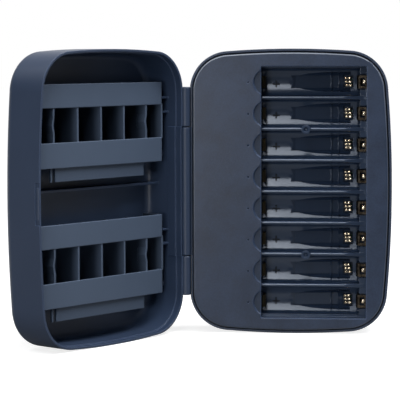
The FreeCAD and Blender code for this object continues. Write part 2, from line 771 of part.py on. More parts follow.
def trough_ribs(z):
    """Two low ribs across the small cell's trough, clipped to the trough's own curve."""
    a, b = small_cell_line(z)
    ribs = []
    for place in trough_rib_places:
        x = bay_start + place
        floor = trough_floor(x)
        block = box(x, x + trough_rib_thickness, floor - small_seat, floor + weld,
                    z - small_seat, z + small_seat)
        ribs.append(block.cut(rod(a, b, small_seat - trough_rib_height)))
    return ribs


def ridge_ramp():
    """Wedge that the ridges lose towards the bays' right wall."""
    start = bay_end - ridge_ramp_length
    points = [(start, ridge_top_depth - 1), (start, ridge_top_depth),
              (bay_end, ridge_top_depth + ridge_ramp_drop), (bay_end, ridge_top_depth - 1)]
    return polygon_prism(points, bays_bottom, bays_top)


def saddle_block(z, x0, x1, offset):
    """A saddle carried along X: upright walls, rounded corners and a shallow arc as its floor."""
    half = cell_seat + offset
    floor_radius = saddle_floor_radius + offset
    corner_radius = saddle_corner_radius + offset
    sine = (half - corner_radius) / (floor_radius - corner_radius)
    turn = math.asin(sine)
    floor_y = saddle_floor - saddle_floor_radius
    corner_z = half - corner_radius
    corner_y = floor_y + (floor_radius - corner_radius) * math.cos(turn)
    middle = (turn + math.pi / 2) / 2

    def at(side, y, distance):
        return V(x0, y, z + side * distance)

    def side_edges(side):
        bend = at(side, corner_y + corner_radius * math.cos(middle),
                  corner_z + corner_radius * math.sin(middle))
        wall_end = at(side, corner_y, half)
        return (Part.LineSegment(at(side, 0, half), wall_end).toShape(),
                Part.Arc(wall_end, bend, floor_end[side]).toShape())

    floor_end = {side: at(side, floor_y + floor_radius * math.cos(turn), floor_radius * sine)
                 for side in (1, -1)}
    upper_wall, upper_corner = side_edges(1)
    lower_wall, lower_corner = side_edges(-1)
    floor = Part.Arc(floor_end[1], V(x0, saddle_floor + offset, z), floor_end[-1]).toShape()
    mouth = Part.LineSegment(at(-1, 0, half), at(1, 0, half)).toShape()
    wire = Part.Wire([upper_wall, upper_corner, floor, lower_corner, lower_wall, mouth])
    return Part.Face(wire).extrude(V(x1 - x0, 0, 0))


def bay_cuts(z):
    """What one bay takes out of the tray: saddle, trough, pockets and slots."""
    cell_far = contact_face + cell_length + cell_end_room
    small_pocket = small_spring - small_pocket_room
    a, b = small_cell_line(z)
    start = a + (a - b) * (contact_gap / (a - b).Length)
    return [saddle_block(z, bay_start, cell_far, 0),
            rod(start, b, small_seat),
            box(small_pocket, small_pocket + small_pocket_length, cell_axis_depth,
                b.y + small_seat + small_pocket_sink, z - small_pocket_half, z + small_pocket_half),
            box(cell_far - 1, bay_end, ridge_top_depth, saddle_floor + pocket_sink,
                z - large_pocket_half, z + large_pocket_half),
            relief_window(z)] + contact_slots(z)


def bay_tray():
    """Glossy moulded tray: eight saddles for cells, each with a lower trough for a small cell."""
    face = panel_back + tray_gap
    lip = tray_wall + tray_lip_reach
    block = joined([
        box(bay_start - tray_wall, bay_end + tray_wall, face, tray_depth,
            bays_bottom - tray_wall, bays_top + tray_wall),
        box(bay_start - lip, bay_end + lip, face, face + tray_lip_height,
            bays_bottom - tray_wall, bays_top + tray_wall)])
    block = block.common(case_block(panel_inset + panel_side_wall + tray_end_room,
                                    face - 1, tray_depth + 1))
    shoulder = ridge_top_depth + bay_ridge / 2
    cuts = [box(bay_start, bay_end, face - 1, shoulder, bays_bottom, bays_top)]
    for z in bay_heights():
        cuts += bay_cuts(z)
    shell = block.cut(cuts).cut(tray_underside())
    ridge_tops = [rod(V(bay_start - weld, shoulder, z), V(bay_end + weld, shoulder, z), bay_ridge / 2)
                  for z in ridge_heights()]
    shell = joined([shell] + ridge_tops).cut(ridge_ramp())
    ribs = [rib for z in bay_heights() for rib in trough_ribs(z)]
    holes = [rod(V(place.x, tray_depth - small_screw_grip - screw_end_room, place.z),
                 V(place.x, tray_depth + 1, place.z), small_screw_radius + screw_fit)
             for place in pillar_positions()]
    return joined([shell] + ribs + pillars()).cut(holes)


def relief_window(z):
    """Deeper window in the floor of the small cell's trough, with a slanting near end."""
    x0, x1 = bay_start + relief_start, bay_start + relief_end
    floor0 = trough_floor(x0 + relief_mouth) + relief_depth
    floor1 = trough_floor(x1) + relief_depth
    points = [(x0, cell_axis_depth), (x0, floor0 - relief_slant_drop), (x0 + relief_slant, floor0),
              (x1, floor1), (x1, cell_axis_depth)]
    return polygon_prism(points, z - relief_half, z + relief_half)


def tray_underside():
    """Room under the tray between its troughs, so that its walls stay even."""
    room = box(bay_start + tray_end_room, bay_end - tray_end_room, ridge_top_depth + tray_room_depth,
               tray_depth + 1, bays_bottom, bays_top)
    trough_half = small_seat + tray_wall
    kept = []
    for z in bay_heights():
        kept.append(saddle_block(z, bay_start - 1, bay_end + 1, tray_wall))
        kept.append(box(bay_start - 1, bay_end + 1, cell_axis_depth, tray_depth + 2,
                        z - trough_half, z + trough_half))
    half = small_screw_radius + tray_wall
    for place in pillar_positions():
        kept.append(box(place.x - half, place.x + half, 0, tray_depth + 2,
                        place.z - half, place.z + half))
    return room.cut(kept)


def pillar_positions():
    return [V(bay_start + pillar_place, 0, bays_top - bay_pitch * (index + 1))
            for index in pillar_ridges]


def pillars():
    """Round pillars on two ridges, scooped by the cells beside them."""
    shapes = []
    for place in pillar_positions():
        top = V(place.x, pillar_top_depth, place.z)
        body = rod(top, V(place.x, cell_axis_depth + pillar_foot, place.z), pillar_radius)
        dimple = cone(top, top + V(0, pillar_dimple_depth, 0), pillar_dimple_radius,
                      pillar_dimple_radius / 2)
        reach = V(2 * pillar_radius, 0, 0)
        beside = [V(place.x, cell_axis_depth, place.z + side * bay_pitch / 2) for side in (1, -1)]
        scoops = [rod(middle - reach, middle + reach, cell_seat) for middle in beside]
        shapes.append(body.cut(scoops + [dimple]))
    return shapes


# ---------------------------------------------------------------- contacts
def positive_contact(z):
    """Brass front contact: a bowed plate in front of the tray's wall and a tail to the board."""
    x = bay_start + contact_sheet
    face = contact_face - contact_sheet
    plate = bent_strip([(x, cell_axis_depth - 3.4), (face, cell_axis_depth - 1.4),
                        (face, saddle_floor - 3.85), (x, saddle_floor - 0.85)],
                       -contact_sheet, positive_half, z)
    tail = box(x, x + contact_sheet, saddle_floor - 1.05, board_front, z - tail_half, z + tail_half)
    return joined([plate, tail])


def small_negative_contact(z):
    """Nickel spring leaf for the small cells: a folded top, a belly and a tail to the board."""
    x = small_spring
    y = saddle_floor + pocket_sink
    tail = small_tail
    leaf = bent_strip([(tail + 1.0, y), (x + 0.9, y - 0.2), (x, y + 0.9), (x + 0.3, y + 2.1),
                       (tail, y + 3.0)], contact_sheet, small_negative_half, z)
    leg = box(tail, tail + contact_sheet, y + 2.7, board_front, z - tail_half, z + tail_half)
    return joined([leaf, leg])


def large_negative_contact(z):
    """Nickel spring leaf for the large cells: a windowed top plate, a belly and a tail."""
    x = large_spring
    y = cell_axis_depth
    tail = large_tail
    leaf = bent_strip([(bay_end, y - 1.0), (x + 0.9, y - 1.0), (x, y + 0.4), (x, y + 3.0),
                       (tail, saddle_floor - 0.25)], -contact_sheet, large_negative_half, z)
    window = box(x + 1.9, bay_end - 0.9, y - 3.0, y, z - 2.2, z + 2.2)
    leg = box(tail, tail + contact_sheet, saddle_floor - 0.55, board_front,
              z - tail_half, z + tail_half)
    return joined([leaf.cut(window), leg])


# ---------------------------------------------------------------- inside the base
def circuit_board():
    plate = joined([box(board_left, board_right, board_front, board_back, -board_half, board_half),
                    box(socket_x - board_tongue_half, socket_x + board_tongue_half,
                        board_front, board_back, board_half - 1, board_tongue_end)])
    places = board_screw_places + tuple((place.x, place.z) for place in pillar_positions())
    holes = [rod(V(x, board_front - 1, z), V(x, board_back + 1, z), small_screw_hole)
             for x, z in places]
    return plate.cut(holes)


def lamps():
    half_x, half_z = lamp_half
    return group([box(lamp_x - half_x, lamp_x + half_x, board_front - lamp_height, board_front,
                      z - half_z, z + half_z) for z in bay_heights()])


def light_pipes():
    """Clear rods from the lamps to the pin-holes in the face."""
    tip = panel_face + light_pipe_sink
    tip_radius = lamp_hole_radius - screw_fit
    end = board_front - lamp_height - light_pipe_gap
    pipes = []
    for z in bay_heights():
        pipes.append(joined([
            rod(V(lamp_x, panel_back, z), V(lamp_x, end, z), light_pipe_radius),
            rod(V(lamp_x, tip, z), V(lamp_x, panel_back + weld, z), tip_radius)]))
    return group(pipes)


def power_socket():
    """Metal power inlet on the board, open towards the top end of the base."""
    y = socket_centre_depth()
    end = half_height - socket_sink
    floor = socket_start + 2 * socket_sheet
    outside = rounded_slot(socket_x, y, socket_half, socket_height / 2, socket_start, end)
    inside = rounded_slot(socket_x, y, socket_half - socket_sheet, socket_height / 2 - socket_sheet,
                          floor, end + 1)
    half_x, half_y = socket_tongue_half
    tongue = box(socket_x - half_x, socket_x + half_x, y - half_y, y + half_y,
                 socket_start + socket_sheet, end - socket_tongue_sink)
    return joined([outside.cut(inside), tongue])


def board_parts():
    """Coils, capacitors and chips on the free strip of the board."""
    coils = [rod(V(x, board_front - coil_height, z), V(x, board_front, z), coil_radius)
             for x, z in coil_places]
    cans = [rod(V(x, board_front - can_height, z), V(x, board_front, z), can_radius)
            for x, z in can_places]
    chips = [box(x - chip_half, x + chip_half, board_front - chip_height, board_front,
                 z - chip_half, z + chip_half) for x, z in chip_places]
    return coils, cans, chips


def screw(x, z, tip, seat, radius, head_radius, head_height):
    """A screw along Y whose shank runs from tip to seat; the head is on the other side of seat."""
    away = math.copysign(head_height, seat - tip)
    return joined([rod(V(x, tip, z), V(x, seat, z), radius),
                   rod(V(x, seat, z), V(x, seat + away, z), head_radius)])


def case_screws():
    """Four screws from the back, through the shell's posts into the panel's bosses."""
    return group([screw(x, z, panel_back + case_screw_tip, base_depth - case_screw_sink,
                        case_screw_radius, case_screw_head, case_screw_head_height)
                  for x, z in case_screw_places])


def board_screws():
    """Three screws through the board into the shell's posts."""
    tip = shell_floor + wall / 2 - screw_end_room
    return group([screw(x, z, tip, board_front, small_screw_radius, small_screw_head,
                        small_screw_head_height) for x, z in board_screw_places])


def tray_screws():
    """Two screws from behind the board into the ridges that carry the pillars."""
    return group([screw(place.x, place.z, tray_depth - small_screw_grip, board_back,
                        small_screw_radius, small_screw_head, small_screw_head_height)
                  for place in pillar_positions()])


def rubber_feet():
    feet = []
    for x, z in foot_places:
        y0 = base_depth - foot_recess
        y1 = y0 + foot_thickness
        foot = rod(V(x, y0, z), V(x, y1, z), foot_radius)
        feet.append(foot.makeFillet(foot_edge_radius, edges_at_depth(foot, y1)))
    return group(feet)


# ---------------------------------------------------------------- assembly
def build_base_nodes():
    coils, cans, chips = board_parts()
    nodes = {
        "base_shell": base_shell(),
        "charger_panel": charger_panel(),
        "bay_tray": bay_tray(),
        "circuit_board": circuit_board(),
        "lamps": lamps(),
        "light_pipes": light_pipes(),
        "power_socket": power_socket(),
        "charging_coils": group(coils),
        "board_capacitors": group(cans),
        "control_chips": group(chips),
        "case_screws": case_screws(),
        "board_screws": board_screws(),
        "tray_screws": tray_screws(),
        "rubber_feet": rubber_feet(),
    }
    for number, z in enumerate(bay_heights(), start=1):
        nodes["positive_contact_%d" % number] = positive_contact(z)
        nodes["small_negative_contact_%d" % number] = small_negative_contact(z)
        nodes["large_negative_contact_%d" % number] = large_negative_contact(z)
    return nodes


def build_cover_nodes():
    nodes = {"storage_cover": storage_cover(), "hinge_pin": hinge_pin()}
    for name, bottom in rack_bottoms.items():
        nodes["%s_rack" % name] = rack(bottom)
        nodes["%s_rack_pins" % name] = rack_pins(bottom)
    return nodes


def main():
    os.makedirs("parts", exist_ok=True)
    nodes = build_base_nodes()
    for name, shape in build_cover_nodes().items():
        nodes[name] = shape.rotated(V(0, 0, 0), V(0, 0, 1), -opening_angle)
    whole = Part.makeCompound(list(nodes.values())).optimalBoundingBox(True, False)
    shift = V(-whole.Center.x, -whole.Center.y, -whole.ZMin)
    for name, shape in nodes.items():
        shape.translated(shift).exportStep("parts/%s.step" % name)
    print("hinge axis at", tuple(round(v, 4) for v in (shift.x, shift.y, shift.z)))
    print("opening angle", opening_angle)
    print("box", round(whole.XLength, 2), round(whole.YLength, 2), round(whole.ZLength, 2))


main()
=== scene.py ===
import math

import bpy
import numpy as np
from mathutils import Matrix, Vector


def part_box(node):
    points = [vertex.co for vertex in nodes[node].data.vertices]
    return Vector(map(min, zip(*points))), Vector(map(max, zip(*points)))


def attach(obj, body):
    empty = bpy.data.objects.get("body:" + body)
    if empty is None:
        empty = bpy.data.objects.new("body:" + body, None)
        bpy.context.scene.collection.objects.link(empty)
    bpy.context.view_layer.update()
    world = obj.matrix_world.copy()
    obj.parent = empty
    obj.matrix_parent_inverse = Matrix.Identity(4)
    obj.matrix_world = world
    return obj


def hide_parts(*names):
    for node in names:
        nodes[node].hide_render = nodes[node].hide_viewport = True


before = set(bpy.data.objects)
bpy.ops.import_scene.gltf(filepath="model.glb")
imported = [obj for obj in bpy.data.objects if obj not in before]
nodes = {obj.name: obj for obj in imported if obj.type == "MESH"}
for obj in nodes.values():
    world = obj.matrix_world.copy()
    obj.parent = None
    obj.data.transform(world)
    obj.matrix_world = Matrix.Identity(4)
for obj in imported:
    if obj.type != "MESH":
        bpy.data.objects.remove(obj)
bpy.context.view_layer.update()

# ------------------------------------------------------------ base shell
# The back half of the charger is one injection-moulded shell of navy ABS. Its mould was spark
# eroded, so the outside has a fine, even grain that scatters the light, with a faint cloudiness
# in the tone where the plastic cooled at different rates.
MM = 0.001
SHELL_NAVY = (0.025, 0.042, 0.083)
SHELL_ROUGHNESS = 0.44
SPARK_PITCH = 0.30 * MM         # size of one pit of the spark grain
SPARK_DEPTH = 0.03 * MM
CLOUD_PITCH = 14 * MM
CLOUD_TONE = 2.0                # shares of the clouds and the pits in the colour
PIT_TONE = 1.5
CLOUD_GLOSS = 1.2               # and in the roughness
PIT_GLOSS = 0.8
EDGE_RADIUS = 0.35 * MM
EDGE_SAMPLES = 6
EDGE_HIGHLIGHT_PALER = 3.0                # tone of the painted edge highlight against the plastic's own
EDGE_HIGHLIGHT_RANGE = (0.98, 0.80)       # turned normal against flat one, where the painted highlight starts and is full


def feed(tree, value, socket):
    """Puts a value into a socket: links one that comes from a node, and sets a plain one."""
    if hasattr(value, "is_output"):
        tree.links.new(value, socket)
    else:
        socket.default_value = value


def noise(tree, vector, scale, detail=2.0, roughness=0.5):
    """Noise with about scale features to the metre."""
    node = tree.nodes.new("ShaderNodeTexNoise")
    for socket, value in (("Vector", vector), ("Scale", scale), ("Detail", detail),
                          ("Roughness", roughness)):
        feed(tree, value, node.inputs[socket])
    return node.outputs["Fac"]


def remap(tree, value, low, high, out_low, out_high):
    """Straight-line change of a value from one range to another, clamped at both ends."""
    node = tree.nodes.new("ShaderNodeMapRange")
    for socket, number in (("Value", value), ("From Min", low), ("From Max", high),
                           ("To Min", out_low), ("To Max", out_high)):
        feed(tree, number, node.inputs[socket])
    return node.outputs["Result"]


def maths(tree, operation, a, b=0.0):
    """One step of arithmetic on a and b, such as a sum or a product."""
    node = tree.nodes.new("ShaderNodeMath")
    node.operation = operation
    for socket, value in zip(node.inputs, (a, b)):
        feed(tree, value, socket)
    return node.outputs[0]


def dot_product(tree, a, b):
    """How far vector a reaches along vector b."""
    node = tree.nodes.new("ShaderNodeVectorMath")
    node.operation = "DOT_PRODUCT"
    for socket, value in zip(node.inputs, (a, b)):
        feed(tree, value, socket)
    return node.outputs["Value"]


def mix_colours(tree, share, first, second):
    """A colour that goes from the first to the second as share goes from 0 to 1."""
    node = tree.nodes.new("ShaderNodeMix")
    node.data_type = "RGBA"
    for socket, value in (("Factor", share), ("A", first), ("B", second)):
        feed(tree, value, node.inputs[socket])
    return node.outputs["Result"]


def new_group(name, inputs, outputs):
    """An empty node group, with its sockets listed by name as Vector, Float or Color. Gives the
    group, its inputs and its outputs."""
    group = bpy.data.node_groups.new(name, "ShaderNodeTree")
    for way, sockets in (("INPUT", inputs), ("OUTPUT", outputs)):
        for socket, kind in sockets.items():
            group.interface.new_socket(socket, in_out=way, socket_type="NodeSocket" + kind)
    start = group.nodes.new("NodeGroupInput")
    end = group.nodes.new("NodeGroupOutput")
    return group, start.outputs, end.inputs


def place_group(tree, group, values):
    """A node group placed in a material, with its own values by the names of its sockets."""
    node = tree.nodes.new("ShaderNodeGroup")
    node.node_tree = group
    for socket, value in values.items():
        feed(tree, value, node.inputs[socket])
    return node


def make_moulded_grain():
    """Group for moulded plastic. The pits are fine noise, Scale of them to the metre, and Height.
    The clouds are slow noise. Both are counted from their middle, and a weighted sum of the two
    wanders about 1 by Clouds as a factor of Base Color, and another about Roughness by Patches."""
    group, given, result = new_group(
        "moulded_grain",
        {"Vector": "Vector", "Scale": "Float", "Clouds": "Float", "Roughness": "Float",
         "Patches": "Float", "Base Color": "Color"},
        {"Color": "Color", "Roughness": "Float", "Height": "Float"})
    pits = noise(group, given["Vector"], given["Scale"], detail=3.0, roughness=0.6)
    clouds = noise(group, given["Vector"], 1.0 / CLOUD_PITCH, detail=3.0)
    pit = maths(group, "SUBTRACT", pits, 0.5)
    cloud = maths(group, "SUBTRACT", clouds, 0.5)

    tone = maths(group, "ADD", maths(group, "MULTIPLY", cloud, CLOUD_TONE),
                 maths(group, "MULTIPLY", pit, PIT_TONE))
    factor = maths(group, "ADD", maths(group, "MULTIPLY", tone, given["Clouds"]), 1.0)
    tint = group.nodes.new("ShaderNodeVectorMath")
    tint.operation = "SCALE"
    group.links.new(given["Base Color"], tint.inputs[0])
    group.links.new(factor, tint.inputs["Scale"])

    gloss = maths(group, "ADD", maths(group, "MULTIPLY", cloud, CLOUD_GLOSS),
                  maths(group, "MULTIPLY", pit, PIT_GLOSS))
    wander = maths(group, "MULTIPLY", gloss, given["Patches"])
    group.links.new(tint.outputs[0], result["Color"])
    group.links.new(maths(group, "ADD", wander, given["Roughness"]), result["Roughness"])
    group.links.new(pits, result["Height"])
    return group


def make_painted_edge_highlight():
    """Group for a painted highlight on sharp edges. Where Turned Normal leaves the surface's own,
    so that their dot product falls through EDGE_HIGHLIGHT_RANGE, Color goes over to Highlight Color
    by Highlight."""
    group, given, result = new_group(
        "painted_edge_highlight",
        {"Turned Normal": "Vector", "Color": "Color", "Highlight Color": "Color", "Highlight": "Float"},
        {"Color": "Color"})
    surface = group.nodes.new("ShaderNodeNewGeometry")
    turned = dot_product(group, given["Turned Normal"], surface.outputs["Normal"])
    highlit = remap(group, turned, *EDGE_HIGHLIGHT_RANGE, 0.0, given["Highlight"])
    group.links.new(mix_colours(group, highlit, given["Color"], given["Highlight Color"]),
                    result["Color"])
    return group


moulded_grain = make_moulded_grain()
painted_edge_highlight = make_painted_edge_highlight()


def new_material(name):
    """A material with its Principled shader, texture coordinate and node lists at hand."""
    material = bpy.data.materials.new(name)
    material.use_nodes = True
    tree = material.node_tree
    shader = tree.nodes["Principled BSDF"]
    coordinate = tree.nodes.new("ShaderNodeTexCoord")
    return material, tree, shader, coordinate


def soft_edge(tree, radius):
    """Normal that turns over sharp edges as their small moulded radius does."""
    node = tree.nodes.new("ShaderNodeBevel")
    node.samples = EDGE_SAMPLES
    node.inputs["Radius"].default_value = radius
    return node.outputs["Normal"]


def moulded_plastic(name, colour, roughness, pit_depth, pitch=SPARK_PITCH, clouds=0.10,
                    patches=0.06, specular=0.25, edge=EDGE_RADIUS, edge_highlight=0.0):
    """Opaque moulded plastic: the grain group feeds colour, roughness and a bump pit_depth deep.
    Sharp edges turn over a radius, and a painted highlight of a paler tone, edge_highlight strong,
    is mixed into them."""
    material, tree, shader, coordinate = new_material(name)
    grain = place_group(tree, moulded_grain, {
        "Vector": coordinate.outputs["Object"], "Scale": 1.0 / pitch, "Clouds": clouds,
        "Roughness": roughness, "Patches": patches, "Base Color": (*colour, 1.0)})
    grain.name = "grain"
    turned = soft_edge(tree, edge)
    bump = tree.nodes.new("ShaderNodeBump")
    bump.inputs["Strength"].default_value = 1.0
    bump.inputs["Distance"].default_value = pit_depth
    tree.links.new(turned, bump.inputs["Normal"])
    tree.links.new(grain.outputs["Height"], bump.inputs["Height"])
    shade = grain.outputs["Color"]
    # Sharp edges get a painted highlight: a paler tone mixed in where the normal turns.
    if edge_highlight:
        paler = (*(EDGE_HIGHLIGHT_PALER * part for part in colour), 1.0)
        shade = place_group(tree, painted_edge_highlight, {
            "Turned Normal": turned, "Color": shade, "Highlight Color": paler,
            "Highlight": edge_highlight}).outputs["Color"]
    tree.links.new(shade, shader.inputs["Base Color"])
    tree.links.new(grain.outputs["Roughness"], shader.inputs["Roughness"])
    tree.links.new(bump.outputs["Normal"], shader.inputs["Normal"])
    shader.inputs["Specular IOR Level"].default_value = specular
    return material


def dress(material, *names):
    """Gives CAD nodes their finished material."""
    for name in names:
        for slot in nodes[name].material_slots:
            slot.material = material


# The shell's sharp edges get a painted highlight.
shell_plastic = moulded_plastic("navy_spark_shell", SHELL_NAVY, SHELL_ROUGHNESS, SPARK_DEPTH,
                                specular=0.5, edge=0.5 * MM, edge_highlight=0.7)
dress(shell_plastic, "base_shell")

# ------------------------------------------------------------ circuit board and its parts
# A glass-fibre board with green solder mask, screwed to posts inside the shell. Coils, capacitors
# and chips stand on it, and a steel power inlet looks out of the shell's top end.
MASK_GREEN = (0.012, 0.085, 0.035)
FERRITE_GREY = (0.030, 0.028, 0.028)
EPOXY_BLACK = (0.016, 0.016, 0.018)
LAMP_WHITE = (0.75, 0.74, 0.66)
board_mask = moulded_plastic("green_solder_mask", MASK_GREEN, 0.30, 0.004 * MM,
                             pitch=0.8 * MM, clouds=0.2)
ferrite = moulded_plastic("pressed_ferrite", FERRITE_GREY, 0.75, 0.02 * MM)
epoxy = moulded_plastic("chip_epoxy", EPOXY_BLACK, 0.55, 0.01 * MM)
lamp_plastic = moulded_plastic("lamp_body", LAMP_WHITE, 0.30, 0.002 * MM, clouds=0.04)
dress(board_mask, "circuit_board")
dress(ferrite, "charging_coils")
dress(epoxy, "control_chips")
dress(lamp_plastic, "lamps")

INLET_STEEL = (0.55, 0.55, 0.56)
CAN_ALUMINIUM = (0.62, 0.63, 0.65)
STREAK_PITCH = 0.3 * MM
STREAK_STRETCH = 0.06           # scale of the streaks' noise along the way they run
STREAK_HEIGHT = 0.004 * MM
STREAK_RANGE = (0.3, 0.7)       # values of the noise, from the least roughness to the most
STREAK_GLOSS = (0.75, 1.3)      # factors of the roughness at those values
BLOTCH_PITCH = 1.2 * MM
BLOTCH_RANGE = (0.40, 0.70)
TARNISH_DARKER = 2.5


def make_drawn_finish():
    """Group for drawn or rolled metal. Height is fine noise whose vector is scaled by Stretch, so
    that it runs in streaks, and a factor of Roughness follows it. Coarser noise takes Color over
    to Tarnish Color in blotches."""
    group, given, result = new_group(
        "drawn_finish",
        {"Vector": "Vector", "Stretch": "Vector", "Streak Scale": "Float", "Color": "Color",
         "Tarnish Color": "Color", "Roughness": "Float"},
        {"Color": "Color", "Roughness": "Float", "Height": "Float"})
    stretch = group.nodes.new("ShaderNodeMapping")
    group.links.new(given["Vector"], stretch.inputs["Vector"])
    group.links.new(given["Stretch"], stretch.inputs["Scale"])
    streaks = noise(group, stretch.outputs["Vector"], given["Streak Scale"], detail=4.0,
                    roughness=0.65)
    blotches = noise(group, given["Vector"], 1.0 / BLOTCH_PITCH)
    tarnished = remap(group, blotches, *BLOTCH_RANGE, 0.0, 1.0)
    gloss = remap(group, streaks, *STREAK_RANGE, *STREAK_GLOSS)
    group.links.new(mix_colours(group, tarnished, given["Color"], given["Tarnish Color"]),
                    result["Color"])
    group.links.new(maths(group, "MULTIPLY", gloss, given["Roughness"]), result["Roughness"])
    group.links.new(streaks, result["Height"])
    return group


drawn_finish = make_drawn_finish()


def drawn_metal(name, colour, roughness, streak_axis, streak_pitch=STREAK_PITCH, tarnish=0.12):
    """Drawn or rolled metal with streaks along an axis, 0 to 2 for x to z, and darker blotches of
    tarnish. The streaks lift a bump of a few micrometres."""
    material, tree, shader, coordinate = new_material(name)
    finish = place_group(tree, drawn_finish, {
        "Vector": coordinate.outputs["Object"],
        "Stretch": [STREAK_STRETCH if axis == streak_axis else 1.0 for axis in range(3)],
        "Streak Scale": 1.0 / streak_pitch,
        "Color": (*colour, 1.0),
        "Tarnish Color": (*(part * (1.0 - TARNISH_DARKER * tarnish) for part in colour), 1.0),
        "Roughness": roughness})
    bump = tree.nodes.new("ShaderNodeBump")
    bump.inputs["Distance"].default_value = STREAK_HEIGHT
    tree.links.new(finish.outputs["Height"], bump.inputs["Height"])
    tree.links.new(finish.outputs["Color"], shader.inputs["Base Color"])
    tree.links.new(finish.outputs["Roughness"], shader.inputs["Roughness"])
    tree.links.new(bump.outputs["Normal"], shader.inputs["Normal"])
    shader.inputs["Metallic"].default_value = 1.0
    return material


socket_steel = drawn_metal("inlet_steel", INLET_STEEL, 0.28, 2)
can_aluminium = drawn_metal("capacitor_aluminium", CAN_ALUMINIUM, 0.35, 1)
dress(socket_steel, "power_socket")
dress(can_aluminium, "board_capacitors")

# ------------------------------------------------------------ bay tray
# One glossy moulding with eight saddles. Its mould was polished, so it mirrors the lamps, and only
# a very shallow ripple bends the reflections.
TRAY_NAVY = (0.021, 0.036, 0.070)
TRAY_MIRROR = (0.80, 0.88, 1.0)     # tint of its reflections
tray_plastic = moulded_plastic("navy_gloss_tray", TRAY_NAVY, 0.20, 0.004 * MM, pitch=1.6 * MM,
                               clouds=0.08, patches=0.08, specular=0.65)
tray_shader = tray_plastic.node_tree.nodes["Principled BSDF"]
tray_shader.inputs["Specular Tint"].default_value = (*TRAY_MIRROR, 1.0)
dress(tray_plastic, "bay_tray")

# ------------------------------------------------------------ plus marks
# Each bay has a plus sign at the end where the cell's cap goes. It is moulded with the tray, in
# low relief, and left matt.
BAYS = range(1, 9)              # from the highest to the lowest
PLUS_X = 34.6 * MM
PLUS_TOP = 45.50 * MM           # a little above the saddle's floor
PLUS_ROOT = 45.95 * MM
PLUS_ARM = 1.7 * MM
PLUS_HALF = 0.36 * MM
PLUS_DROP = 1.3 * MM            # below the bay's centre line
PLUS_DRAFT = 1.15               # size at the root against the top's
PLUS_BLACK = (0.006, 0.009, 0.016)
mark_plastic = moulded_plastic("matt_tray_mark", PLUS_BLACK, 0.60, 0.01 * MM)


def new_piece(name, points, faces, material, body="charger_base", smooth=True):
    """A mesh piece from a list of points and faces, that rides on a body."""
    mesh = bpy.data.meshes.new(name)
    mesh.from_pydata(points.tolist(), [], faces)
    mesh.polygons.foreach_set("use_smooth", np.full(len(faces), smooth))
    mesh.materials.append(material)
    piece = bpy.data.objects.new(name, mesh)
    bpy.context.scene.collection.objects.link(piece)
    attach(piece, body)
    return piece


def plus_outline(arm, half):
    """The twelve corners of a plus sign, clockwise: each quarter is (half, arm), (half, half),
    (arm, half), turned three times by a quarter."""
    quarter = np.array([(half, arm), (half, half), (arm, half)])
    turns = [np.array([[math.cos(a), math.sin(a)], [-math.sin(a), math.cos(a)]])
             for a in np.arange(4) * math.pi / 2]
    return np.concatenate([quarter @ turn.T for turn in turns])


def bay_height(number):
    """Height of a bay's centre line, half-way up its front contact."""
    low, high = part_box("positive_contact_%d" % number)
    return (low.z + high.z) / 2


def plus_mark(number):
    """A plus sign drawn up from the bay's floor, with sides that lean in by a draft angle."""
    flat = plus_outline(PLUS_ARM, PLUS_HALF)
    corners = len(flat)
    middle = bay_height(number) - PLUS_DROP
    rings = [np.stack([PLUS_X + scale * flat[:, 0], np.full(corners, depth),
                       middle + scale * flat[:, 1]], axis=1)
             for scale, depth in ((PLUS_DRAFT, PLUS_ROOT), (1.0, PLUS_TOP))]
    side = np.arange(corners)
    after = (side + 1) % corners
    faces = np.stack([side, after, after + corners, side + corners], axis=1).tolist()
    faces.append(list(range(2 * corners - 1, corners - 1, -1)))
    faces.append(list(range(corners)))
    return new_piece("plus_mark_%d" % number, np.concatenate(rings), faces, mark_plastic,
                     smooth=False)


for number in BAYS:
    plus_mark(number)

# ------------------------------------------------------------ contacts
# Strips stamped from sheet and pushed into slots in the tray: dark bronze plates at the positive
# end, and bright nickel springs for the small and the large cells at the other.
BRONZE_BROWN = (0.085, 0.070, 0.042)
NICKEL_YELLOW = (0.72, 0.62, 0.47)
# The large cells' plates are nickel painted dark, a shaded copy of the springs' nickel that stands
# in for the dark surroundings it mirrors.
NICKEL_PAINTED_DARK = (0.11, 0.092, 0.072)
contact_bronze = drawn_metal("dark_bronze_contact", BRONZE_BROWN, 0.42, 2)
spring_nickel = drawn_metal("nickel_spring", NICKEL_YELLOW, 0.22, 2, 0.4 * MM, tarnish=0.20)
nickel_painted_dark = drawn_metal("nickel_painted_dark", NICKEL_PAINTED_DARK, 0.26, 2, 0.4 * MM, tarnish=0.30)
for number in BAYS:
    dress(contact_bronze, "positive_contact_%d" % number)
    dress(nickel_painted_dark, "large_negative_contact_%d" % number)


def rounded_path(corners, rounds=2):
    """A path of (x, y) points through corners, each cut at a quarter of its sides, rounds times."""
    path = np.array(corners, float)
    for _ in range(rounds):
        before, after = path[:-1], path[1:]
        cut = np.stack([0.75 * before + 0.25 * after, 0.25 * before + 0.75 * after], axis=1)
        path = np.concatenate([path[:1], cut.reshape(-1, 2), path[-1:]])
    return path


